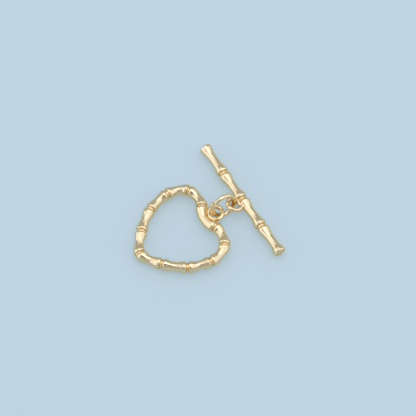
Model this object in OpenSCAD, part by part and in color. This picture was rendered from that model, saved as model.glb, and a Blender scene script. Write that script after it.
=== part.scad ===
// Heart toggle clasp with bamboo joints. Millimetres, lying on z = 0.
// +X runs along the heart from its tip to its cleft and on to the bar, +Y across it, +Z up.
// The origin is the middle of the part's footprint on the table.

/* [Heart ring] */
// Length of the heart's middle line, from the joint at its tip to the joints beside its cleft
heart_l = 14.3; // [13:0.1:18]
// Width of the heart's middle line at its widest pair of joints
heart_w = 15.6; // [13:0.1:20]
// Thickness of a heart stem at its waist
heart_stem_d = 1.65; // [1.2:0.05:1.8]
// Thickness of the plainer stem in the cleft
cleft_stem_d = 1.8; // [1.3:0.05:2.1]
// Thickness over a flared stem end of the heart
heart_flare_d = 2.2; // [2:0.05:2.7]
// Outer width of the loop at the cleft
heart_loop_d = 3.3; // [3.1:0.05:3.8]
// Wire thickness of the loop at the cleft
heart_loop_wire = 0.78; // [0.65:0.01:0.9]

/* [Toggle bar] */
// Length of the bar over its two ends
bar_l = 25.1; // [22:0.1:32]
// Thickness of a bar stem at its waist
bar_stem_d = 1.65; // [1.2:0.05:1.8]
// Thickness over a flared stem end of the bar
bar_flare_d = 2.3; // [2:0.05:2.7]
// Outer width of the loop on the bar
bar_loop_d = 3.45; // [3.1:0.05:3.8]
// Wire thickness of the loop on the bar
bar_loop_wire = 0.84; // [0.65:0.01:0.9]
// Distance from the bar's axis to the middle of its loop
bar_loop_reach = 1.8; // [1.7:0.05:2.2]
// Place of the loop along the bar, from the bar's middle
bar_loop_at = -0.25; // [-1:0.05:1]
// How far the bar has rolled, which lifts its loop off the table
bar_roll = 15; // [12:1:20]
// How far the bar lies off square to the heart
bar_slant = 2; // [-4:0.1:4]

/* [Jump ring] */
// Outer width of the jump ring
ring_d = 5.2; // [5:0.05:6]
// Wire thickness of the jump ring
ring_wire = 0.82; // [0.7:0.01:0.9]
// Lean of the standing jump ring from upright
ring_lean = 24; // [18:1:28]
// Angle that the ring's slit takes
ring_slit = 7; // [5:1:16]
// Angle by which the two halves of the ring are sprung apart sideways
ring_twist = 8; // [0:0.5:9]

/* [Bamboo joints] */
// Length over which a stem swells towards a joint
knuckle_l = 2.5; // [1.6:0.1:2.6]
// Width at the root of the solder under a loop
solder_d = 1.2; // [0.9:0.05:1.4]
// Height left between the heart's loop and the lowest wire of the jump ring under it
link_gap = 0.24; // [0.16:0.01:0.35]
// Depth to which a loop is sunk into its stem
loop_bite = 0.25; // [0.1:0.01:0.35]

/* [Hidden] */
$fn = 48;

// Facets round a heart stem
stem_sides = 16;

// The swelling at a joint. Columns: distance from the joint as a share of knuckle_l,
// fullness from 0 at the waist to 1 over the flare. The bead comes first, then its groove, then the flare.
KNUCKLE = [
    [0.00, 0.25],
    [0.05, 0.21],
    [0.09, 0.00],
    [0.13, 0.66],
    [0.19, 0.93],
    [0.27, 1.00],
    [0.40, 0.84],
    [0.54, 0.57],
    [0.70, 0.30],
    [0.86, 0.11],
    [1.00, 0.00]
];

// The trumpet at an end of the bar, in the same columns, from its domed end face inwards
TRUMPET = [
    [0.00, 0.00],
    [0.02, 0.60],
    [0.06, 0.93],
    [0.12, 1.00],
    [0.30, 0.86],
    [0.45, 0.54],
    [0.64, 0.22],
    [0.84, 0.05],
    [1.00, 0.00]
];

// The joints of the heart on one side. Columns: place along as a share of heart_l, place across as a
// share of half of heart_w, and the headings in degrees in which the stem comes in and goes out.
HEART = [
    [0.000, 0.000, 108, 72],
    [0.170, 0.470, 48, 48],
    [0.420, 0.850, 33, 23],
    [0.707, 0.998, 8, -2],
    [0.968, 0.813, -48, -60],
    [1.000, 0.295, -106, -141]
];

// Places of the bar's joints as shares of half its length
BAR_JOINTS = [-0.514, -0.004, 0.486];

// Where the jump ring's wire passes through a loop, as shares of the free play along X and Y
RING_IN_HEART = [-0.42, -0.28];
RING_IN_BAR = [-0.28, 0.55];

// Angles round the jump ring, from +X: the middle of its slit, and the point opposite where it flexes
slit_angle = 134;
flex_angle = -60;

heart_loop_r = (heart_loop_d - heart_loop_wire) / 2;
bar_loop_r = (bar_loop_d - bar_loop_wire) / 2;
ring_r = (ring_d - ring_wire) / 2;
heart_play = (heart_loop_d - 2 * heart_loop_wire - ring_wire) / 2;
bar_play = (bar_loop_d - 2 * bar_loop_wire - ring_wire) / 2;

// Radius of a stem at a share of the swelling's length from its nearest joint
function swell(share, waist_d, flare_d, table) =
    (waist_d + (flare_d - waist_d) * lookup(share, table)) / 2;

// The whole ring of joints: one side from tip to cleft, then the other side back, mirrored
side_n = len(HEART);
joint_n = 2 * side_n - 1;
function joint_row(i) = i < side_n
    ? [HEART[i][0] * heart_l, HEART[i][1] * heart_w / 2, HEART[i][2], HEART[i][3]]
    : let (m = HEART[joint_n - i])
      [m[0] * heart_l, -m[1] * heart_w / 2, 180 - m[3], 180 - m[2]];
function joint_at(i) = joint_row(i % joint_n);
function joint_xy(i) = let (j = joint_at(i)) [j[0], j[1]];

// A point on stem i at share t of its length: a cubic curve with the joints' headings at its ends
function heading(a) = [cos(a), sin(a)];
function stem_chord(i) = norm(joint_xy(i + 1) - joint_xy(i));
function stem_xy(i, t) =
    let (l = stem_chord(i), out = heading(joint_at(i)[3]), in = heading(joint_at(i + 1)[2]))
    (2 * pow(t, 3) - 3 * pow(t, 2) + 1) * joint_xy(i) + (pow(t, 3) - 2 * pow(t, 2) + t) * l * out
    + (3 * pow(t, 2) - 2 * pow(t, 3)) * joint_xy(i + 1) + (pow(t, 3) - pow(t, 2)) * l * in;
function stem_tangent(i, t) =
    let (l = stem_chord(i), out = heading(joint_at(i)[3]), in = heading(joint_at(i + 1)[2]))
    (6 * pow(t, 2) - 6 * t) * joint_xy(i) + (3 * pow(t, 2) - 4 * t + 1) * l * out
    + (6 * t - 6 * pow(t, 2)) * joint_xy(i + 1) + (3 * pow(t, 2) - 2 * t) * l * in;

// A joint's own direction is midway between its two headings, and the stem turns into it over turn_l
turn_l = heart_flare_d / 2;
function unit(v) = v / norm(v);
function joint_way(i) = unit(heading(joint_at(i)[2]) + heading(joint_at(i)[3]));
function facing(i, t) =
    let (d0 = t * stem_chord(i), d1 = (1 - t) * stem_chord(i), own = unit(stem_tangent(i, t)))
    let (near = d0 < d1 ? joint_way(i) : joint_way(i + 1), k = min(1, min(d0, d1) / turn_l))
    unit(near * (1 - k) + own * k);

// The swelling's length on stem i as a share of the stem, which ends just short of its middle
knuckle_n = len(KNUCKLE);
reach_most = 0.47;
function reach(i) = min(knuckle_l / stem_chord(i), reach_most);

// Stations of the sections along stem i, as shares of its length
function stations(i) = concat(
    [for (k = [0:knuckle_n - 1]) KNUCKLE[k][0] * reach(i)],
    [0.5],
    [for (k = [knuckle_n - 1:-1:1]) 1 - KNUCKLE[k][0] * reach(i)]);
function stem_waist(i) = i == side_n - 1 ? cleft_stem_d : heart_stem_d;
function section(i, t) =
    let (p = stem_xy(i, t), w = facing(i, t))
    let (r = swell(min(t, 1 - t) / reach(i), stem_waist(i), heart_flare_d, KNUCKLE))
    [for (s = [0:stem_sides - 1]) let (a = 360 * s / stem_sides)
        [p[0] - r * cos(a) * w[1], p[1] + r * cos(a) * w[0], r * sin(a)]];

// A closed skin over sections that follow one another round the heart
module heart_stems() {
    sections = [for (i = [0:joint_n - 1], t = stations(i)) section(i, t)];
    n = len(sections);
    points = [for (s = sections, p = s) p];
    function corner(k, s) = (k % n) * stem_sides + s % stem_sides;
    faces = [for (k = [0:n - 1], s = [0:stem_sides - 1], half = [0, 1]) half == 0
        ? [corner(k, s), corner(k + 1, s), corner(k + 1, s + 1)]
        : [corner(k, s), corner(k + 1, s + 1), corner(k, s + 1)]];
    polyhedron(points, faces);
}

// A wire loop lying flat round the origin
module wire_loop(r, wire_d) {
    rotate_extrude() translate([r, 0]) circle(d = wire_d);
}

// Solder from a stem's axis out along +X to the middle of a loop's wire, narrowing to just inside the wire
solder_end = 0.9;
module solder(length, wire_d) {
    rotate([0, 90, 0]) cylinder(h = length, d1 = solder_d, d2 = solder_end * wire_d);
}

// The heart lies with its tip on the table and its loop on the jump ring's wire
cleft_x = stem_xy(side_n - 1, 0.5)[0];
heart_loop_x = cleft_x + cleft_stem_d / 2 + heart_loop_d / 2 - loop_bite;
heart_lift = max(0, ring_wire + heart_loop_wire / 2 + link_gap - heart_flare_d / 2);
heart_tilt = asin(heart_lift / (heart_loop_x + heart_loop_r));
heart_loop_z = heart_flare_d / 2 + heart_loop_x * sin(heart_tilt);

// The jump ring stands on the table in both loops. ring_half gives half its width at height z.
ring_z = ring_r * cos(ring_lean) + ring_wire / 2;
function ring_half(z) = sqrt(pow(ring_r, 2) - pow((ring_z - z) / cos(ring_lean), 2));
function ring_side(z) = (z - ring_z) * tan(ring_lean);
ring_x = heart_loop_x + RING_IN_HEART[0] * heart_play + ring_half(heart_loop_z);
ring_y = RING_IN_HEART[1] * heart_play - ring_side(heart_loop_z);

// The bar hangs on the other side of the jump ring
bar_loop_z = bar_flare_d / 2 + bar_loop_reach * sin(bar_roll);
bar_loop_x = ring_x + ring_half(bar_loop_z) - RING_IN_BAR[0] * bar_play;
bar_loop_y = ring_y + ring_side(bar_loop_z) - RING_IN_BAR[1] * bar_play;
bar_out = bar_loop_reach * cos(bar_roll);
bar_x = bar_loop_x + bar_out * cos(bar_slant) + bar_loop_at * sin(bar_slant);
bar_y = bar_loop_y + bar_out * sin(bar_slant) - bar_loop_at * cos(bar_slant);

// Footprint along X: the flares at the heart's tip on one side, the widest rim of a bar's end on the other
x_low = min([for (t = stations(0), p = section(0, t)) p[0] * cos(heart_tilt) - p[2] * sin(heart_tilt)]);
rim_at = bar_l / 2 - TRUMPET[3][0] * knuckle_l;
x_high = bar_x + rim_at * sin(abs(bar_slant)) + bar_flare_d / 2 * cos(bar_slant);
middle = [(x_low + x_high) / 2, bar_y, 0];

// The heart and its loop are cast and soldered in one
module heart_ring() {
    color("#E8CB8C")
    translate(-middle) translate([0, 0, heart_flare_d / 2]) rotate([0, -heart_tilt, 0]) {
        heart_stems();
        translate([heart_loop_x, 0, 0]) wire_loop(heart_loop_r, heart_loop_wire);
        translate([cleft_x, 0, 0])
            solder(heart_loop_x - heart_loop_r - cleft_x, heart_loop_wire);
    }
}

// An arc of the jump ring's wire that starts at the origin
module ring_arc(sweep) {
    translate([-ring_r, 0, 0]) rotate_extrude(angle = sweep) translate([ring_r, 0]) circle(d = ring_wire);
}

// Two halves that meet at flex_angle, one of them turned sideways there about the wire's own direction
module jump_ring() {
    arc_left = slit_angle - flex_angle - ring_slit / 2;
    arc_right = 360 - arc_left - ring_slit;
    color("#F0D08A")
    translate(-middle) translate([ring_x, ring_y, ring_z]) rotate([90 - ring_lean, 0, 0])
        rotate([0, 0, flex_angle]) translate([ring_r, 0, 0]) {
            ring_arc(-arc_right);
            rotate([0, ring_twist, 0]) ring_arc(arc_left);
        }
}

// Outline of the bar from its axis out, worked out from one end to the other
bar_ends = [-bar_l / 2, bar_l / 2];
bar_marks = concat([bar_ends[0]], [for (j = BAR_JOINTS) j * bar_l / 2], [bar_ends[1]]);
function mark_table(k) = k == 0 || k == len(bar_marks) - 1 ? TRUMPET : KNUCKLE;
function bar_half(k, way) =
    let (table = mark_table(k), rows = way > 0 ? [0:len(table) - 1] : [len(table) - 1:-1:0])
    [for (q = rows) [swell(table[q][0], bar_stem_d, bar_flare_d, table),
                     bar_marks[k] + way * table[q][0] * knuckle_l]];
module bar_stems() {
    last = len(bar_marks) - 1;
    outline = concat(
        [[0, bar_marks[0]]],
        bar_half(0, 1),
        [for (k = [1:last - 1], p = concat(bar_half(k, -1), bar_half(k, 1))) p],
        bar_half(last, -1),
        [[0, bar_marks[last]]]);
    rotate([-90, 0, 0]) rotate_extrude() polygon(outline);
}

module toggle_bar() {
    color("#E8CB8C")
    translate(-middle) translate([bar_x, bar_y, bar_flare_d / 2]) rotate([0, 0, bar_slant]) {
        bar_stems();
        translate([0, bar_loop_at, 0]) rotate([0, 180 + bar_roll, 0]) {
            translate([bar_loop_reach, 0, 0]) wire_loop(bar_loop_r, bar_loop_wire);
            solder(bar_loop_reach - bar_loop_r, bar_loop_wire);
        }
    }
}

heart_ring();
jump_ring();
toggle_bar();
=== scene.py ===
import math

import bpy
import numpy as np
from bpy.props import FloatProperty, FloatVectorProperty, PointerProperty
from bpy.types import Operator, Panel, PropertyGroup
from mathutils import Matrix, Vector


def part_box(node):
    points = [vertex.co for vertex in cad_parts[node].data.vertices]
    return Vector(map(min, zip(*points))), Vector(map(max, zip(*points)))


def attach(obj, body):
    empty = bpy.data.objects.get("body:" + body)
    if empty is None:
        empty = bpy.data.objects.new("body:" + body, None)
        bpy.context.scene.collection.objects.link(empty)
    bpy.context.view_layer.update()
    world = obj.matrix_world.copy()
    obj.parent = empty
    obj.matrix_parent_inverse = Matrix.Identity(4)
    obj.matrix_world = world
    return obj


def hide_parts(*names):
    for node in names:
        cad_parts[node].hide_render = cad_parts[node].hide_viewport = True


bl_info = {
    "name": "Bamboo Heart Toggle Clasp",
    "version": (1, 0, 0),
    "blender": (4, 5, 0),
    "location": "View3D > Sidebar > Clasp",
    "description": "Builds a plated heart toggle clasp of bamboo stems, its bar and its jump ring",
    "category": "Add Mesh",
}

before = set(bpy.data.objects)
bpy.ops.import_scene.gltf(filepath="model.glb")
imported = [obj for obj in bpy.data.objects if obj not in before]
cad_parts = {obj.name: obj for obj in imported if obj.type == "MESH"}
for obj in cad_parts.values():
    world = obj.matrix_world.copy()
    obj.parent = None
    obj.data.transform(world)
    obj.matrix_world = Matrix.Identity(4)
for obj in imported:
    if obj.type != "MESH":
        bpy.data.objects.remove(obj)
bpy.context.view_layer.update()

MM = 0.001

# Points round a stem, a loop's wire, the jump ring's wire and a pool of solder
STEM_SIDES = 64
LOOP_SIDES = 40
RING_SIDES = 48
POOL_SIDES = 32

# Rings of points along a heart stem, a bar stem, a loop and a pool of solder, and along the jump ring on
# either side of the point where it flexes
HEART_RINGS = 72
BAR_RINGS = 96
LOOP_RINGS = 144
POOL_RINGS = 24
RING_RINGS = 200

# Rings over the rounded rim of the bar's end and of the jump ring's cut end
RIM_RINGS = 16
NIP_RINGS = 10

# Radii of the rings on the flat end of the bar, as shares of half its waist
FACE_RINGS = (0.25, 0.6, 0.9)

# How strongly the rings crowd towards a stem's ends, from 0 to 1
CROWDING = 0.75

# The most of a heart stem's length that one of its two swellings takes
REACH_MOST = 0.47

# The groove beside a joint's bead, where shade is painted: its place and its half width as shares of the
# swelling's length
GROOVE_AT = 0.09
GROOVE_HALF = 0.03

# Share of painted shade, from 0 to 1: a deeper orange colour that stands in for shade and for gold mirrored
# in
# gold, with rougher plating too: in a groove, on the inner side of a loop and on solder
GROOVE_SHADE = 0.7
LOOP_SHADE = 0.8
SOLDER_SHADE = 0.9

# Share of painted shade and painted gold-on-gold reflection near the middle of a loop, with rougher plating
# there too, and the distance at which that has fallen to 1/e: on the heart's stems, on the bar's stems and
# on the jump ring
HEART_SHADE, HEART_SHADE_REACH = 0.7, 1.4 * MM
BAR_SHADE, BAR_SHADE_REACH = 0.4, 1.35 * MM
RING_SHADE, RING_SHADE_REACH = 0.7, 1.3 * MM

# Half sizes of the pools of solder in millimetres, out from the stem, along it and up, and how far out from
# its axis the bar's pool is centred
HEART_POOL = (0.50, 1.05, 0.42)
BAR_POOL = (0.42, 1.25, 0.44)
BAR_POOL_AT = 0.98

# The point that the camera looks at, in millimetres from the tip of the heart's middle line
LOOK_AT = (15.157, 1.706, 1.03)

# The soft boxes that the plating mirrors. Columns: name, heading and height in degrees, how many degrees it
# reaches out from its middle as seen from the clasp, and radiance.
SOFT_BOXES = (
    ("overhead", 187, 79, 32.5, 0.605),
    ("overhead middle", 141, 83, 18, 0.645),
    ("left", -112, 20, 36, 0.805),
    ("right", 58, 36, 40, 0.71),
)

# The soft box that only lights the floor, in the same columns
FLOOR_BOX = ("behind", 150, 42, 38, 0.98)

# Light of the tent's dark opening, and how soft its edge is as a share of the opening
OPENING_LIGHT = 0.03
OPENING_EDGE = 0.15

# Roughness of the plating where it is polished and where the painted shade is full
POLISHED, DULL = 0.06, 0.2

# The two platings by record slot. Columns: name, the setting with its polished colour, how mottled it is,
# the scale of its slow waves, the share of its fine lines and the strength of its bump.
PLATINGS = {
    "cast_gold": ("Cast gold plating", "bright", 0.16, 1100, 0.08, 0.9),
    "wire_gold": ("Wire gold plating", "wire", 0.08, 500, 0.05, 0.25),
}

# The swelling of a stem at a joint. Columns: distance from the joint as a share of the swelling's length,
# and fullness from 0 at the waist to 1 over the flare. The bead comes first, then its groove and the flare.
KNUCKLE = (
    (0.00, 0.25),
    (0.05, 0.21),
    (0.09, 0.00),
    (0.13, 0.66),
    (0.19, 0.93),
    (0.27, 1.00),
    (0.40, 0.84),
    (0.54, 0.57),
    (0.70, 0.30),
    (0.86, 0.11),
    (1.00, 0.00),
)

# The trumpet at an end of the bar, in the same columns, from the edge of its rounded rim inwards
TRUMPET = (
    (0.12, 1.00),
    (0.30, 0.86),
    (0.45, 0.54),
    (0.64, 0.22),
    (0.84, 0.05),
    (1.00, 0.00),
)

# The joints of the heart on one side. Columns: place along as a share of the heart's length, place across
# as a share of half its width, and the headings in degrees in which the stem comes in and goes out.
HEART = (
    (0.000, 0.000, 108, 72),
    (0.170, 0.470, 48, 48),
    (0.420, 0.850, 33, 23),
    (0.707, 0.998, 8, -2),
    (0.968, 0.813, -48, -60),
    (1.000, 0.295, -106, -141),
)

# Places of the bar's joints as shares of half its length
BAR_JOINTS = (-0.514, -0.004, 0.486)

# Where the jump ring's wire passes through a loop, as shares of the free play along X and Y
RING_IN_HEART = (-0.42, -0.28)
RING_IN_BAR = (-0.28, 0.55)

# Angles round the jump ring, from +X: the middle of its slit, and the point opposite where it flexes
SLIT_ANGLE = 134
FLEX_ANGLE = -60

# Waves of the cast surface. Columns: turns per millimetre along X, Y and Z, and the phase in turns
CAST_WAVES = (
    (0.31, 0.17, 0.23, 0.10),
    (-0.22, 0.36, 0.41, 0.45),
    (0.47, 0.29, -0.35, 0.80),
    (-0.53, -0.38, 0.52, 0.25),
)


def size(name, description, mm):
    """A length that a user can set, given in millimetres and kept in metres."""
    return FloatProperty(
        name=name,
        description=description,
        default=mm * MM,
        min=0,
        precision=5,
        unit="LENGTH",
        subtype="DISTANCE",
    )


def place(name, description, mm):
    """A place along an axis that a user can set, given in millimetres and kept in metres."""
    return FloatProperty(
        name=name,
        description=description,
        default=mm * MM,
        precision=5,
        unit="LENGTH",
        subtype="DISTANCE",
    )


def turn(name, description, degrees):
    """An angle that a user can set, given in degrees and kept in radians."""
    return FloatProperty(name=name, description=description, default=math.radians(degrees), subtype="ANGLE")


def colour(name, description, rgb):
    """A colour that a user can set."""
    return FloatVectorProperty(
        name=name, description=description, default=rgb, size=3, min=0, max=1, subtype="COLOR"
    )


class StemSizes(PropertyGroup):
    """Sizes that the stems of the heart and of the bar share"""

    knuckle: size("Knuckle", "Length over which a stem swells towards a joint", 2.5)
    dent: size("Cast dents", "Depth of the shallow unevenness of the casting", 0.05)


class HeartSizes(PropertyGroup):
    """Sizes of the heart ring"""

    length: size("Length", "Middle line from the joint at the tip to the joints beside the cleft", 14.3)
    width: size("Width", "Middle line at the widest pair of joints", 15.6)
    waist: size("Waist", "Thickness of a stem at its waist", 1.65)
    cleft: size("Cleft stem", "Thickness of the plainer stem in the cleft", 1.8)
    flare: size("Flare", "Thickness over a flared stem end", 2.2)
    loop: size("Loop", "Outer width of the loop at the cleft", 3.3)
    loop_wire: size("Loop wire", "Wire thickness of the loop at the cleft", 0.78)


class BarSizes(PropertyGroup):
    """Sizes of the toggle bar"""

    length: size("Length", "Length over the two ends", 25.1)
    waist: size("Waist", "Thickness of a stem at its waist", 1.65)
    flare: size("Flare", "Thickness over a flared stem end", 2.3)
    loop: size("Loop", "Outer width of the loop on the bar", 3.45)
    loop_wire: size("Loop wire", "Wire thickness of the loop on the bar", 0.84)
    reach: size("Loop reach", "Distance from the bar's axis to the middle of its loop", 1.8)
    loop_at: place("Loop place", "Place of the loop along the bar, from the bar's middle", -0.25)
    roll: turn("Roll", "How far the bar has rolled, which lifts its loop", 15)
    slant: turn("Slant", "How far the bar lies off square to the heart", 2)


class RingSizes(PropertyGroup):
    """Sizes of the jump ring and the slack of the links"""

    outer: size("Outer width", "Outer width of the jump ring", 5.2)
    wire: size("Wire", "Wire thickness of the jump ring", 0.82)
    lean: turn("Lean", "Lean of the standing jump ring from upright", 24)
    slit: turn("Slit", "Angle that the slit takes", 7)
    twist: turn("Twist", "Angle by which the two halves are sprung apart sideways", 8)
    gap: size("Link gap", "Height left between the heart's loop and the lowest wire of the ring", 0.24)
    bite: size("Loop bite", "Depth to which a loop is sunk into its stem", 0.25)
    nip: size("Nip", "Rounding at the edge of the two cut wire ends", 0.07)


class PlatingColours(PropertyGroup):
    """Colours of the gold plating"""

    bright: colour("Bright", "Plating where it is polished", (0.915, 0.755, 0.465))
    # Painted shade: a deeper orange that stands in for shade and for gold mirrored in gold, not a tone of
    # the plating
    painted_shade: colour("Painted shade", "Plating where the polish does not reach", (0.74, 0.435, 0.085))
    wire: colour("Wire", "Plating of the drawn wire", (0.915, 0.755, 0.465))
    rim: colour("Rim", "Tint of the plating where it is seen edge on", (0.9, 0.78, 0.5))


class StageSettings(PropertyGroup):
    """The floor, the lights and the camera"""

    floor: colour("Floor", "Colour of the floor", (0.222, 0.274, 0.274))
    glow: colour("Glow", "Light that comes up through the floor", (0.294, 0.362, 0.407))
    lamp: colour("Lamps", "Colour of the soft boxes", (0.785, 0.83, 1.0))
    sky: colour("Sky", "Colour of the soft box behind, which lights only the floor", (0.6, 0.78, 1.0))
    tent: colour("Tent", "Light of the tent round the table", (0.462, 0.473, 0.515))
    opening: turn("Opening", "Half of the angle that the dark opening for the camera takes", 9)
    floor_width: size("Floor width", "Width of the floor", 6000)
    heading: turn("Camera heading", "Heading of the camera round the clasp", -30.6)
    elevation: turn("Camera elevation", "Height of the camera above the horizon", 64.16)
    distance: size("Camera distance", "Distance of the camera from the clasp", 420)
    view_width: size("View width", "Width of the picture at the clasp", 74.9)


def cubic(t, start, out, end, into):
    """The cubic from start to end as t goes from 0 to 1, with slope out at first and into at last."""
    return (
        (2 * t**3 - 3 * t**2 + 1) * start
        + (t**3 - 2 * t**2 + t) * out
        + (3 * t**2 - 2 * t**3) * end
        + (t**3 - t**2) * into
    )


def smooth_lookup(share, table):
    """Fullness at each share of the swelling's length, on a smooth curve through a table's rows.

    Between two rows it is a cubic. Its slope at a row is the harmonic mean of the slopes on the row's two
    sides, and level where those differ in sign and at both ends, so it never passes beyond the rows.
    """
    x, y = np.array(table, float).T
    rise = np.diff(y) / np.diff(x)
    before, after = rise[:-1], rise[1:]
    same = before * after > 0
    slope = np.zeros_like(y)
    slope[1:-1][same] = 2 * before[same] * after[same] / (before[same] + after[same])
    row = np.clip(np.searchsorted(x, share, side="right") - 1, 0, len(x) - 2)
    run = x[row + 1] - x[row]
    t = np.clip((share - x[row]) / run, 0, 1)
    return cubic(t, y[row], run * slope[row], y[row + 1], run * slope[row + 1])


def swell(share, waist, flare, table):
    """Radius of a stem: half of the waist, plus half of what the flare adds times the table's fullness."""
    return (waist + (flare - waist) * smooth_lookup(share, table)) / 2


def groove(share):
    """Share of painted shade and of rougher plating in the groove beside a joint's bead: a bell curve along
    the stem.
    """
    return GROOVE_SHADE * np.exp(-(((share - GROOVE_AT) / GROOVE_HALF) ** 2))


def near(points, centre, reach):
    """How near points are to a centre: a bell curve of the distance, which falls to 1/e at the reach."""
    return np.exp(-(((points - centre) ** 2).sum(-1)) / reach**2)


def direction(degrees):
    """The unit vector in the XY plane at each heading."""
    angle = np.radians(degrees)
    return np.stack([np.cos(angle), np.sin(angle)], -1)


def unit(vectors):
    """The vectors at length 1."""
    return vectors / np.linalg.norm(vectors, axis=-1, keepdims=True)


def turned(points, axis, angle):
    """The points turned about an axis through the origin by the right-hand rule."""
    return points @ np.array(Matrix.Rotation(angle, 3, axis)).T


def crowded(count, pull):
    """Shares from 0 to just under 1 that crowd towards both ends: u less pull times a sine wave of u."""
    u = np.arange(count) / count
    return u - pull * np.sin(2 * np.pi * u) / (2 * np.pi)


def cast_dents(points, depth):
    """Depth of the casting's unevenness at each point, 0 to depth: the mean of a few slow sine waves."""
    waves = np.array(CAST_WAVES)
    turns = points / MM @ waves[:, :3].T + waves[:, 3]
    return depth * (0.5 + 0.5 * np.sin(2 * np.pi * turns).mean(-1))


def tube(centres, across, up, radii, around):
    """A grid of rings, whose point at angle v is the centre plus radius times (cos v across + sin v up)."""
    v = 2 * np.pi * np.arange(around)[None, :, None] / around
    spoke = np.cos(v) * across[:, None, :] + np.sin(v) * up[:, None, :]
    return centres[:, None, :] + np.broadcast_to(radii, (len(centres), around))[..., None] * spoke


def skin(grid, closed):
    """Vertices and faces of the skin over a grid of rings.

    A closed skin joins the last ring to the first. An open one gets a point in the middle of each end ring.
    The faces look outwards where the points of a ring run right-handed along the way of the rings. A
    Boolean union turns all faces outwards.
    """
    rings, around = grid.shape[:2]
    points = grid.reshape(-1, 3)
    ring = np.arange(rings if closed else rings - 1)[:, None]
    spoke = np.arange(around)[None, :]
    next_ring, next_spoke = (ring + 1) % rings, (spoke + 1) % around
    corners = (
        ring * around + spoke,
        ring * around + next_spoke,
        next_ring * around + next_spoke,
        next_ring * around + spoke,
    )
    faces = np.stack(np.broadcast_arrays(*corners), -1).reshape(-1, 4).tolist()
    if not closed:
        points = np.vstack([points, grid[0].mean(0), grid[-1].mean(0)])
        start, end = rings * around, rings * around + 1
        spokes = np.arange(around)
        after = (spokes + 1) % around
        last = (rings - 1) * around
        faces += np.stack([np.full(around, start), after, spokes], -1).tolist()
        faces += np.stack([np.full(around, end), last + spokes, last + after], -1).tolist()
    return points, faces


def mesh_object(name, points, faces, painted_shade):
    """A smooth mesh object at the origin, with the share of painted shade at each point kept in a point
    attribute.

    The share goes from 0 to 1 and also makes the plating rougher. It may leave out the last points, which
    then get none.
    """
    mesh = bpy.data.meshes.new(name)
    mesh.from_pydata(points, [], faces)
    mesh.shade_smooth()
    # The share of painted shade: a deeper orange standing in for shade and gold-on-gold reflection, and
    # rougher plating
    layer = mesh.attributes.new("painted_shade", "FLOAT", "POINT")
    values = np.zeros(len(points), np.float32)
    values[: painted_shade.size] = painted_shade.ravel()
    layer.data.foreach_set("value", values)
    made = bpy.data.objects.new(name, mesh)
    bpy.context.scene.collection.objects.link(made)
    return made


def fused(name, body, *others):
    """One closed skin over shells that cut into each other, by Boolean unions. The shells are used up."""
    for other in others:
        union = body.modifiers.new("Solder", "BOOLEAN")
        union.operation = "UNION"
        union.solver = "EXACT"
        union.object = other
    graph = bpy.context.evaluated_depsgraph_get()
    mesh = bpy.data.meshes.new_from_object(body.evaluated_get(graph))
    mesh.name = name
    for shell in (body, *others):
        bpy.data.objects.remove(shell)
    made = bpy.data.objects.new(name, mesh)
    bpy.context.scene.collection.objects.link(made)
    return made


def wire_loop(radius, wire, place):
    """A loop of round wire: a circle carried round a circle. place moves it out of the loop's own plane.

    Shade and gold-on-gold reflection are painted towards the loop's inner side, with the cosine of the
    angle from there round the wire, and the plating is rougher there.
    """
    u = 2 * np.pi * np.arange(LOOP_RINGS) / LOOP_RINGS
    out = np.stack([np.cos(u), np.sin(u), 0 * u], -1)
    up = np.tile([0.0, 0.0, 1.0], (len(u), 1))
    points, faces = skin(tube(radius * out, out, up, wire / 2, LOOP_SIDES), closed=True)
    inwards = np.clip(-np.cos(2 * np.pi * np.arange(LOOP_SIDES) / LOOP_SIDES), 0, 1)
    return mesh_object("loop", place(points), faces, LOOP_SHADE * np.tile(inwards, len(u)))


def solder_pool(centre, half_sizes, place):
    """A pool of solder that has drawn into a corner: a ball stretched to its three half sizes."""
    slope = np.pi * (np.arange(1, POOL_RINGS) / POOL_RINGS - 0.5)
    centres = np.stack([0 * slope, 0 * slope, np.sin(slope)], -1)
    across = np.tile([1.0, 0.0, 0.0], (len(slope), 1))
    up = np.tile([0.0, 1.0, 0.0], (len(slope), 1))
    points, faces = skin(tube(centres, across, up, np.cos(slope)[:, None], POOL_SIDES), closed=False)
    points = place(points * half_sizes + centre)
    # The whole pool gets nearly full painted shade and painted gold-on-gold reflection, and rougher plating
    return mesh_object("solder", points, faces, np.full(len(points), SOLDER_SHADE))


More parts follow.
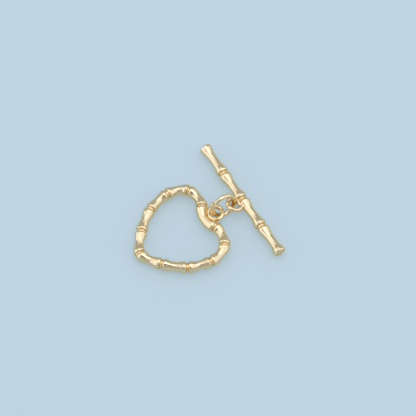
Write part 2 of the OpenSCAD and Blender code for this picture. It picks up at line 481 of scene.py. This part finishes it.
class Layout:
    """Places of the three links, worked out from the sizes as they lie on the table."""

    def __init__(self, clasp):
        stem, heart, bar, ring = clasp.stem, clasp.heart, clasp.bar, clasp.ring
        self.heart_r = (heart.loop - heart.loop_wire) / 2
        self.bar_r = (bar.loop - bar.loop_wire) / 2
        self.ring_r = (ring.outer - ring.wire) / 2
        self.lean = ring.lean
        heart_play = (heart.loop - 2 * heart.loop_wire - ring.wire) / 2
        bar_play = (bar.loop - 2 * bar.loop_wire - ring.wire) / 2

        self.joints = heart_joints(heart)
        self.cleft_x = stem_points(self.joints, len(HEART) - 1, np.array([0.5]))[0][0, 0]
        self.heart_x = self.cleft_x + heart.cleft / 2 + heart.loop / 2 - ring.bite
        lift = max(0.0, ring.wire + heart.loop_wire / 2 + ring.gap - heart.flare / 2)
        self.tilt = math.asin(lift / (self.heart_x + self.heart_r))
        self.heart_rest = heart.flare / 2
        heart_z = self.heart_rest + self.heart_x * math.sin(self.tilt)

        self.ring_z = self.ring_r * math.cos(self.lean) + ring.wire / 2
        self.ring_x = self.heart_x + RING_IN_HEART[0] * heart_play + self.ring_half(heart_z)
        self.ring_y = RING_IN_HEART[1] * heart_play - self.ring_side(heart_z)

        loop_z = bar.flare / 2 + bar.reach * math.sin(bar.roll)
        loop_x = self.ring_x + self.ring_half(loop_z) - RING_IN_BAR[0] * bar_play
        loop_y = self.ring_y + self.ring_side(loop_z) - RING_IN_BAR[1] * bar_play
        self.bar_loop = np.array([loop_x, loop_y, loop_z])
        from_loop = turned(np.array([bar.reach * math.cos(bar.roll), -bar.loop_at, 0]), "Z", bar.slant)
        self.bar_x, self.bar_y = loop_x + from_loop[0], loop_y + from_loop[1]

        line, facing, radii, _ = stem_rings(self.joints, 0, stem.knuckle, heart.waist, heart.flare)
        sideways = np.hypot(facing[:, 1] * math.cos(self.tilt), math.sin(self.tilt))
        low = (line[:, 0] * math.cos(self.tilt) - radii * sideways).min()
        rim = bar.length / 2 - TRUMPET[0][0] * stem.knuckle
        high = self.bar_x + rim * math.sin(abs(bar.slant)) + bar.flare / 2 * math.cos(bar.slant)
        self.middle = np.array([(low + high) / 2, self.bar_y, 0])

    def loop_middles(self):
        """Middles of the heart's loop and of the bar's loop."""
        heart = turned(np.array([self.heart_x, 0, 0]), "Y", -self.tilt) + [0, 0, self.heart_rest]
        return heart - self.middle, self.bar_loop - self.middle

    def ring_half(self, z):
        """Half of the standing ring's width at height z, along its middle line."""
        return math.sqrt(self.ring_r**2 - ((self.ring_z - z) / math.cos(self.lean)) ** 2)

    def ring_side(self, z):
        """How far the leaning ring is off its centre sideways at height z."""
        return (z - self.ring_z) * math.tan(self.lean)


def heart_joints(heart):
    """Places and headings of the heart's joints: one side from tip to cleft, then the other side back."""
    table = np.array(HEART, float)
    side = table * [heart.length, heart.width / 2, 1, 1]
    other = side[:0:-1] * [1, -1, 1, 1]
    other[:, 2:] = 180 - other[:, :1:-1]
    return np.vstack([side, other])


def stem_points(joints, stem, t):
    """Middle line, way and chord of a stem at each share t: a cubic that meets its joints' headings."""
    start, end = joints[stem], joints[(stem + 1) % len(joints)]
    chord = np.linalg.norm(end[:2] - start[:2])
    out, into = direction(start[3]) * chord, direction(end[2]) * chord
    t = t[:, None]
    line = cubic(t, start[:2], out, end[:2], into)
    way = (
        (6 * t**2 - 6 * t) * start[:2]
        + (3 * t**2 - 4 * t + 1) * out
        + (6 * t - 6 * t**2) * end[:2]
        + (3 * t**2 - 2 * t) * into
    )
    return line, unit(way), chord


def stem_rings(joints, stem, knuckle, waist, flare):
    """Centres, facings, radii and shares of painted groove shade of the rings along one stem, crowded
    towards its joints.

    Near a joint the rings turn from the stem's own way into the joint's, midway between its headings.
    """
    t = crowded(HEART_RINGS, CROWDING)
    line, own, chord = stem_points(joints, stem, t)
    reach = min(knuckle / chord, REACH_MOST)
    nearest = np.minimum(t, 1 - t)
    ends = (joints[stem], joints[(stem + 1) % len(joints)])
    ways = [unit(direction(heading_in) + direction(heading_out)) for *_, heading_in, heading_out in ends]
    joint_way = np.where((t < 0.5)[:, None], ways[0], ways[1])
    bend = np.minimum(1, nearest * chord / (flare / 2))[:, None]
    facing = unit(joint_way * (1 - bend) + own * bend)
    share = nearest / reach
    return line, facing, swell(share, waist, flare, KNUCKLE), groove(share)


def heart_stems(clasp, layout, place):
    """The ring of bamboo stems: circles carried round the heart's line, with radii by the knuckle table."""
    heart, cleft = clasp.heart, len(HEART) - 1
    waists = [heart.cleft if stem == cleft else heart.waist for stem in range(len(layout.joints))]
    rings = [
        stem_rings(layout.joints, stem, clasp.stem.knuckle, waist, heart.flare)
        for stem, waist in enumerate(waists)
    ]
    line, facing, radii, groove_shade = (np.concatenate(part) for part in zip(*rings))
    centres = np.column_stack([line, np.zeros(len(line))])
    across = np.column_stack([-facing[:, 1], facing[:, 0], np.zeros(len(line))])
    up = np.tile([0.0, 0.0, 1.0], (len(line), 1))
    full = tube(centres, across, up, radii[:, None], STEM_SIDES)
    grid = tube(centres, across, up, radii[:, None] - cast_dents(full, clasp.stem.dent), STEM_SIDES)
    points, faces = skin(grid[:, ::-1], closed=True)
    points = place(points)
    # Painted shade and painted gold-on-gold reflection near the middle of the heart's loop
    loop_shade = HEART_SHADE * near(points, layout.loop_middles()[0], HEART_SHADE_REACH)
    return mesh_object("stems", points, faces, np.maximum(np.repeat(groove_shade, STEM_SIDES), loop_shade))


def bar_profile(clasp):
    """Places along the bar's axis from one end's middle to the other's, and the radius and share of painted
    groove shade there.

    Each end is a flat face out to the waist's radius, then a quarter of an ellipse out to the trumpet's
    rim. Between the ends the radius follows the trumpet and knuckle tables.
    """
    bar, knuckle, half = clasp.bar, clasp.stem.knuckle, clasp.bar.length / 2
    rim, waist = TRUMPET[0][0] * knuckle, bar.waist / 2
    marks = [-half, *(place * half for place in BAR_JOINTS), half]
    y, r, groove_shade = [], [], []
    for number, (start, end) in enumerate(zip(marks, marks[1:])):
        first, last = number == 0, number == len(marks) - 2
        low = start + (rim if first else 0)
        high = end - (rim if last else 0)
        at = low + (high - low) * crowded(BAR_RINGS, CROWDING)
        to_start, to_end = (at - start) / knuckle, (end - at) / knuckle
        near_start = to_start < to_end
        sides = ((to_start, first), (to_end, last))
        side_r = [
            swell(np.clip(share, 0, 1), bar.waist, bar.flare, TRUMPET if is_end else KNUCKLE)
            for share, is_end in sides
        ]
        side_groove_shade = [0 * at if is_end else groove(share) for share, is_end in sides]
        y.append(at)
        r.append(np.where(near_start, *side_r))
        groove_shade.append(np.where(near_start, *side_groove_shade))
    arc = np.radians(np.linspace(0, 90, RIM_RINGS))
    dome_y, dome_r = rim * (1 - np.cos(arc)), waist + (bar.flare / 2 - waist) * np.sin(arc)
    face = waist * np.array(FACE_RINGS)
    y = np.concatenate([0 * face - half, dome_y[:-1] - half, *y, half - dome_y[::-1], 0 * face + half])
    r = np.concatenate([face, dome_r[:-1], *r, dome_r[::-1], face[::-1]])
    ends = np.zeros(len(face) + len(arc))
    return y, r, np.concatenate([ends[:-1], *groove_shade, ends])


def bar_stems(clasp, layout, place):
    """The bar: its profile turned round its axis, less the casting's unevenness."""
    y, r, groove_shade = bar_profile(clasp)
    centres = np.column_stack([0 * y, y, 0 * y])
    across = np.tile([1.0, 0.0, 0.0], (len(y), 1))
    up = np.tile([0.0, 0.0, 1.0], (len(y), 1))
    full = tube(centres, across, up, r[:, None], STEM_SIDES)
    dented = np.minimum(1, r / clasp.bar.waist * 2)[:, None] ** 2
    grid = tube(centres, across, up, r[:, None] - dented * cast_dents(full, clasp.stem.dent), STEM_SIDES)
    points, faces = skin(grid, closed=False)
    points = place(points)
    # Painted shade and painted gold-on-gold reflection near the middle of the bar's loop
    loop_shade = BAR_SHADE * near(points, layout.loop_middles()[1], BAR_SHADE_REACH)
    in_groove = np.append(np.repeat(groove_shade, STEM_SIDES), [0, 0])
    return mesh_object("stems", points, faces, np.maximum(in_groove, loop_shade))


def ring_wire(clasp, layout, place):
    """The jump ring: a circle of wire carried along two arcs from the point where the ring flexes.

    One arc is turned sideways at that point about the wire's own direction. At each cut end the wire's
    radius falls off over the nip's length by a quarter circle.
    """
    ring, r = clasp.ring, layout.ring_r
    left = math.radians(SLIT_ANGLE - FLEX_ANGLE) - ring.slit / 2
    right = 2 * math.pi - left - ring.slit
    nip = ring.nip / r
    edge = nip * (1 - np.cos(np.radians(np.linspace(0, 90, NIP_RINGS))))
    body = np.arange(1, RING_RINGS) / RING_RINGS
    angle = np.concatenate(
        [edge - right, (nip - right) * (1 - body), [0], (left - nip) * body, left - edge[::-1]]
    )
    from_cut = np.minimum(angle + right, left - angle) / nip
    radii = ring.wire / 2 - ring.nip * (1 - np.sqrt(1 - (1 - np.clip(from_cut, 0, 1)) ** 2))
    out = np.stack([np.cos(angle), np.sin(angle), 0 * angle], -1)
    up = np.tile([0.0, 0.0, 1.0], (len(angle), 1))
    centres = r * (out - [1, 0, 0])
    turned_half = angle > 0
    for vectors in (centres, out, up):
        vectors[turned_half] = turned(vectors[turned_half], "Y", ring.twist)
    grid = tube(centres, out, up, radii[:, None], RING_SIDES)
    points, faces = skin(grid[:, ::-1], closed=False)
    points = place(points)
    # Painted shade and painted gold-on-gold reflection where the ring passes near the middles of the two
    # loops
    loop_shade = sum(near(points, centre, RING_SHADE_REACH) for centre in layout.loop_middles())
    return mesh_object("jump_ring", points, faces, RING_SHADE * loop_shade)


def check_box(piece, node, slack=0.06 * MM):
    """Stops the script if a piece reaches outside its CAD node's box or falls short of it."""
    count = len(piece.data.vertices)
    points = np.empty(count * 3, np.float32)
    piece.data.vertices.foreach_get("co", points)
    points = points.reshape(-1, 3)
    made = np.array([points.min(0), points.max(0)])
    off = np.abs(made - np.array([list(corner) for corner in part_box(node)])).max()
    if off > slack:
        raise RuntimeError(f"{piece.name} is off its CAD node's box by {off / MM:.3f} mm")


def clasp_settings():
    """The settings of the clasp in the scene."""
    return bpy.context.scene.clasp


class CLASP_OT_heart_ring(Operator):
    """Builds the heart of bamboo stems with its soldered loop"""

    bl_idname = "clasp.heart_ring"
    bl_label = "Heart ring"

    def execute(self, context):
        clasp = clasp_settings()
        layout = Layout(clasp)
        rest = np.array([0, 0, clasp.heart.flare / 2])

        def place(points):
            return turned(points, "Y", -layout.tilt) + rest - layout.middle

        loop_at = np.array([layout.heart_x, 0, 0])
        stems = heart_stems(clasp, layout, place)
        loop = wire_loop(layout.heart_r, clasp.heart.loop_wire, lambda points: place(points + loop_at))
        corner = np.array([layout.cleft_x + clasp.heart.cleft / 2, 0, 0])
        pool = solder_pool(corner, np.array(HEART_POOL) * MM, place)
        heart = fused("heart_ring", stems, loop, pool)
        dress(heart, "heart_ring", "cast_gold")
        return {"FINISHED"}


class CLASP_OT_toggle_bar(Operator):
    """Builds the bamboo bar with its soldered loop"""

    bl_idname = "clasp.toggle_bar"
    bl_label = "Toggle bar"

    def execute(self, context):
        clasp = clasp_settings()
        bar = clasp.bar
        layout = Layout(clasp)
        rest = np.array([layout.bar_x, layout.bar_y, bar.flare / 2])

        def place(points):
            return turned(points, "Z", bar.slant) + rest - layout.middle

        def beside(points):
            return place(turned(points, "Y", math.pi + bar.roll) + [0, bar.loop_at, 0])

        loop_at = np.array([bar.reach, 0, 0])
        stems = bar_stems(clasp, layout, place)
        loop = wire_loop(layout.bar_r, bar.loop_wire, lambda points: beside(points + loop_at))
        pool = solder_pool(np.array([BAR_POOL_AT, 0, 0]) * MM, np.array(BAR_POOL) * MM, beside)
        made = fused("toggle_bar", stems, loop, pool)
        dress(made, "toggle_bar", "cast_gold")
        return {"FINISHED"}


class CLASP_OT_jump_ring(Operator):
    """Builds the open jump ring that joins the two loops"""

    bl_idname = "clasp.jump_ring"
    bl_label = "Jump ring"

    def execute(self, context):
        clasp = clasp_settings()
        layout = Layout(clasp)
        centre = np.array([layout.ring_x, layout.ring_y, layout.ring_z])

        def place(points):
            in_ring = turned(points + [layout.ring_r, 0, 0], "Z", math.radians(FLEX_ANGLE))
            return turned(in_ring, "X", math.pi / 2 - clasp.ring.lean) + centre - layout.middle

        ring = ring_wire(clasp, layout, place)
        dress(ring, "jump_ring", "wire_gold")
        return {"FINISHED"}


def dress(piece, node, slot):
    """Checks a finished piece against its CAD node, lets it stand for it and gives it its plating."""
    check_box(piece, node)
    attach(piece, "root")
    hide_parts(node)
    piece.data.materials.clear()
    piece.data.materials.append(plating(slot))


def group_sockets(group, inputs, outputs):
    """Adds a group's sockets. Each is (name, socket type) and an input also has its default."""
    for name, kind, default in inputs:
        socket = group.interface.new_socket(name=name, in_out="INPUT", socket_type=kind)
        socket.default_value = default
    for name, kind in outputs:
        group.interface.new_socket(name=name, in_out="OUTPUT", socket_type=kind)
    return group.nodes.new("NodeGroupInput"), group.nodes.new("NodeGroupOutput")


def cast_ripple_group():
    """Height of a polished surface: slow waves left by the casting, and fine lines left by the wheel."""
    name = "Polished ripple"
    if name in bpy.data.node_groups:
        return bpy.data.node_groups[name]
    group = bpy.data.node_groups.new(name, "ShaderNodeTree")
    into, out = group_sockets(
        group,
        [
            ("Vector", "NodeSocketVector", (0, 0, 0)),
            ("Wave scale", "NodeSocketFloat", 1100),
            ("Line share", "NodeSocketFloat", 0.08),
        ],
        [("Height", "NodeSocketFloat")],
    )
    nodes, links = group.nodes, group.links
    waves = nodes.new("ShaderNodeTexNoise")
    waves.inputs["Detail"].default_value = 2.5
    links.new(into.outputs["Vector"], waves.inputs["Vector"])
    links.new(into.outputs["Wave scale"], waves.inputs["Scale"])
    lines = nodes.new("ShaderNodeTexNoise")
    lines.inputs["Detail"].default_value = 3
    lines.inputs["Scale"].default_value = 9000
    links.new(into.outputs["Vector"], lines.inputs["Vector"])
    both = nodes.new("ShaderNodeMath")
    both.operation = "MULTIPLY_ADD"
    links.new(lines.outputs["Fac"], both.inputs[0])
    links.new(into.outputs["Line share"], both.inputs[1])
    links.new(waves.outputs["Fac"], both.inputs[2])
    links.new(both.outputs[0], out.inputs["Height"])
    return group


def plating_tone_group():
    """Colour and roughness of plating: bright where polished, mixed towards a deeper orange of painted
    shade and gold-on-gold reflection by the painted share and rougher there, faintly mottled.
    """
    name = "Plating tone"
    if name in bpy.data.node_groups:
        return bpy.data.node_groups[name]
    group = bpy.data.node_groups.new(name, "ShaderNodeTree")
    into, out = group_sockets(
        group,
        [
            ("Vector", "NodeSocketVector", (0, 0, 0)),
            ("Bright", "NodeSocketColor", (1, 1, 1, 1)),
            ("Painted shade", "NodeSocketColor", (0.5, 0.5, 0.5, 1)),
            ("Fade", "NodeSocketFloat", 0),
            ("Mottle", "NodeSocketFloat", 0.16),
        ],
        [("Color", "NodeSocketColor"), ("Roughness", "NodeSocketFloat")],
    )
    nodes, links = group.nodes, group.links
    mottle = nodes.new("ShaderNodeTexNoise")
    mottle.inputs["Detail"].default_value = 4
    mottle.inputs["Scale"].default_value = 400
    links.new(into.outputs["Vector"], mottle.inputs["Vector"])
    amount = nodes.new("ShaderNodeMath")
    amount.operation = "MULTIPLY_ADD"
    amount.use_clamp = True
    links.new(mottle.outputs["Fac"], amount.inputs[0])
    links.new(into.outputs["Mottle"], amount.inputs[1])
    links.new(into.outputs["Fade"], amount.inputs[2])
    tone = nodes.new("ShaderNodeMix")
    tone.data_type = "RGBA"
    links.new(amount.outputs[0], tone.inputs["Factor"])
    links.new(into.outputs["Bright"], tone.inputs["A"])
    links.new(into.outputs["Painted shade"], tone.inputs["B"])
    links.new(tone.outputs["Result"], out.inputs["Color"])
    rough = nodes.new("ShaderNodeMapRange")
    rough.inputs["To Min"].default_value = POLISHED
    rough.inputs["To Max"].default_value = DULL
    links.new(amount.outputs[0], rough.inputs["Value"])
    links.new(rough.outputs["Result"], out.inputs["Roughness"])
    return group


def plating(slot):
    """The gold plating of a record slot, cast or drawn, made once."""
    name, polished, mottle, wave_scale, line_share, bump_strength = PLATINGS[slot]
    if name in bpy.data.materials:
        return bpy.data.materials[name]
    colours = clasp_settings().plating
    material = bpy.data.materials.new(name)
    material.use_nodes = True
    nodes, links = material.node_tree.nodes, material.node_tree.links
    metal = nodes["Principled BSDF"]
    metal.inputs["Metallic"].default_value = 1
    metal.inputs["Specular Tint"].default_value = (*colours.rim, 1)
    place = nodes.new("ShaderNodeTexCoord")
    # The share of painted shade kept on the points
    painted_shade = nodes.new("ShaderNodeAttribute")
    painted_shade.attribute_name = "painted_shade"

    tone = nodes.new("ShaderNodeGroup")
    tone.node_tree = plating_tone_group()
    tone.inputs["Bright"].default_value = (*getattr(colours, polished), 1)
    # The deeper orange of painted shade and painted gold-on-gold reflection
    tone.inputs["Painted shade"].default_value = (*colours.painted_shade, 1)
    tone.inputs["Mottle"].default_value = mottle
    links.new(place.outputs["Object"], tone.inputs["Vector"])
    links.new(painted_shade.outputs["Fac"], tone.inputs["Fade"])
    links.new(tone.outputs["Color"], metal.inputs["Base Color"])
    links.new(tone.outputs["Roughness"], metal.inputs["Roughness"])

    ripple = nodes.new("ShaderNodeGroup")
    ripple.node_tree = cast_ripple_group()
    ripple.inputs["Wave scale"].default_value = wave_scale
    ripple.inputs["Line share"].default_value = line_share
    links.new(place.outputs["Object"], ripple.inputs["Vector"])
    bump = nodes.new("ShaderNodeBump")
    bump.inputs["Strength"].default_value = bump_strength
    bump.inputs["Distance"].default_value = 0.04 * MM
    links.new(ripple.outputs["Height"], bump.inputs["Height"])
    links.new(bump.outputs["Normal"], metal.inputs["Normal"])
    return material


def floor_material(colour, glow):
    """Pale matt sheet lit from below: its colour, with a very faint cloudiness, and an even glow."""
    material = bpy.data.materials.new("Pale sheet")
    material.use_nodes = True
    nodes, links = material.node_tree.nodes, material.node_tree.links
    sheet = nodes["Principled BSDF"]
    sheet.inputs["Roughness"].default_value = 0.7
    sheet.inputs["Specular IOR Level"].default_value = 0.2
    sheet.inputs["Emission Color"].default_value = (*glow, 1)
    sheet.inputs["Emission Strength"].default_value = 1
    place = nodes.new("ShaderNodeTexCoord")
    cloud = nodes.new("ShaderNodeTexNoise")
    cloud.inputs["Scale"].default_value = 12
    cloud.inputs["Detail"].default_value = 3
    tint = nodes.new("ShaderNodeMix")
    tint.data_type = "RGBA"
    tint.inputs["A"].default_value = (*(0.97 * channel for channel in colour), 1)
    tint.inputs["B"].default_value = (*colour, 1)
    links.new(place.outputs["Object"], cloud.inputs["Vector"])
    links.new(cloud.outputs["Fac"], tint.inputs["Factor"])
    links.new(tint.outputs["Result"], sheet.inputs["Base Color"])
    return material


def tent_world(colour, back, opening):
    """A pale tent all round, which is dark in its round opening for the camera, whose direction is back."""
    world = bpy.data.worlds.new("tent")
    world.use_nodes = True
    nodes, links = world.node_tree.nodes, world.node_tree.links
    place = nodes.new("ShaderNodeTexCoord")
    toward = nodes.new("ShaderNodeVectorMath")
    toward.operation = "DOT_PRODUCT"
    toward.inputs[1].default_value = back
    inside = nodes.new("ShaderNodeMapRange")
    inside.interpolation_type = "SMOOTHSTEP"
    inside.inputs["From Min"].default_value = math.cos(opening * (1 + OPENING_EDGE))
    inside.inputs["From Max"].default_value = math.cos(opening * (1 - OPENING_EDGE))
    light = nodes.new("ShaderNodeMix")
    light.data_type = "RGBA"
    light.inputs["A"].default_value = (*colour, 1)
    light.inputs["B"].default_value = (OPENING_LIGHT, OPENING_LIGHT, OPENING_LIGHT, 1)
    links.new(place.outputs["Generated"], toward.inputs[0])
    links.new(toward.outputs["Value"], inside.inputs["Value"])
    links.new(inside.outputs["Result"], light.inputs["Factor"])
    links.new(light.outputs["Result"], nodes["Background"].inputs["Color"])
    nodes["Background"].inputs["Strength"].default_value = 1
    return world


def way_back(azimuth, elevation):
    """The direction from the clasp to something at a heading, from -Y towards +X, and a height."""
    across = math.cos(elevation)
    return Vector((math.sin(azimuth) * across, -math.cos(azimuth) * across, math.sin(elevation)))


def soft_box(name, azimuth, elevation, reach, radiance, colour, target, distance=1.0):
    """A round soft box that faces the clasp from a heading and a height in degrees.

    Seen from the clasp it reaches as many degrees out from its middle as reach says.
    """
    back = way_back(math.radians(azimuth), math.radians(elevation))
    radius = distance * math.tan(math.radians(reach))
    lamp = bpy.data.lights.new(name, "AREA")
    lamp.shape = "DISK"
    lamp.size = 2 * radius
    lamp.color = colour
    lamp.energy = radiance * (math.pi * radius) ** 2
    made = bpy.data.objects.new(name, lamp)
    made.location = target + distance * back
    made.rotation_euler = back.to_track_quat("Z", "Y").to_euler()
    bpy.context.scene.collection.objects.link(made)
    return made


class CLASP_OT_stage(Operator):
    """Builds the floor, the lights and the camera"""

    bl_idname = "clasp.stage"
    bl_label = "Stage"

    def execute(self, context):
        scene = context.scene
        clasp = clasp_settings()
        stage = clasp.stage
        half = stage.floor_width / 2
        corners = [(-half, -half, 0), (half, -half, 0), (half, half, 0), (-half, half, 0)]
        mesh = bpy.data.meshes.new("floor")
        mesh.from_pydata(corners, [], [(0, 1, 2, 3)])
        mesh.materials.append(floor_material(stage.floor, stage.glow))
        floor = bpy.data.objects.new("floor", mesh)
        scene.collection.objects.link(floor)

        layout = Layout(clasp)
        target = Vector(np.array(LOOK_AT) * MM - layout.middle)
        back = way_back(stage.heading, stage.elevation)
        lens = bpy.data.cameras.new("camera")
        lens.sensor_width = 36
        lens.lens = lens.sensor_width * stage.distance / stage.view_width
        lens.clip_start, lens.clip_end = 0.01, 20
        camera = bpy.data.objects.new("camera", lens)
        camera.location = target + stage.distance * back
        camera.rotation_euler = back.to_track_quat("Z", "Y").to_euler()
        scene.collection.objects.link(camera)
        scene.camera = camera

        scene.view_settings.view_transform = "Standard"
        scene.world = tent_world(stage.tent, back, stage.opening)
        for box in SOFT_BOXES:
            soft_box(*box, stage.lamp, target)
        soft_box(*FLOOR_BOX, stage.sky, target).visible_glossy = False
        return {"FINISHED"}


class ClaspSettings(PropertyGroup):
    """All settings of the clasp"""

    stem: PointerProperty(type=StemSizes, name="Stems", description="Sizes of all bamboo stems")
    heart: PointerProperty(type=HeartSizes, name="Heart", description="Sizes of the heart ring")
    bar: PointerProperty(type=BarSizes, name="Bar", description="Sizes of the toggle bar")
    ring: PointerProperty(type=RingSizes, name="Jump ring", description="Sizes of the jump ring")
    plating: PointerProperty(type=PlatingColours, name="Plating", description="Colours of the plating")
    stage: PointerProperty(type=StageSettings, name="Stage", description="Floor, lights and camera")


class CLASP_PT_panel(Panel):
    """Lists the clasp's pieces and their settings"""

    bl_idname = "CLASP_PT_panel"
    bl_label = "Toggle clasp"
    bl_space_type = "VIEW_3D"
    bl_region_type = "UI"
    bl_category = "Clasp"

    def draw(self, context):
        clasp = context.scene.clasp
        for operator in OPERATORS:
            self.layout.operator(operator.bl_idname)
        for name in ("stem", "heart", "bar", "ring", "plating", "stage"):
            group = getattr(clasp, name)
            box = self.layout.box()
            box.label(text=clasp.bl_rna.properties[name].name)
            for field in group.__annotations__:
                box.prop(group, field)


GROUPS = (StemSizes, HeartSizes, BarSizes, RingSizes, PlatingColours, StageSettings, ClaspSettings)
OPERATORS = (CLASP_OT_heart_ring, CLASP_OT_jump_ring, CLASP_OT_toggle_bar, CLASP_OT_stage)
CLASSES = (*GROUPS, *OPERATORS, CLASP_PT_panel)


def register():
    """Registers the classes and hangs the settings on the scene."""
    for cls in CLASSES:
        bpy.utils.register_class(cls)
    bpy.types.Scene.clasp = PointerProperty(type=ClaspSettings)


def unregister():
    """Takes the settings off the scene and unregisters the classes."""
    del bpy.types.Scene.clasp
    for cls in reversed(CLASSES):
        bpy.utils.unregister_class(cls)


def main():
    """Builds the clasp and its stage."""
    register()
    bpy.ops.clasp.heart_ring()
    bpy.ops.clasp.jump_ring()
    bpy.ops.clasp.toggle_bar()
    bpy.ops.clasp.stage()


if __name__ == "__main__":
    main()
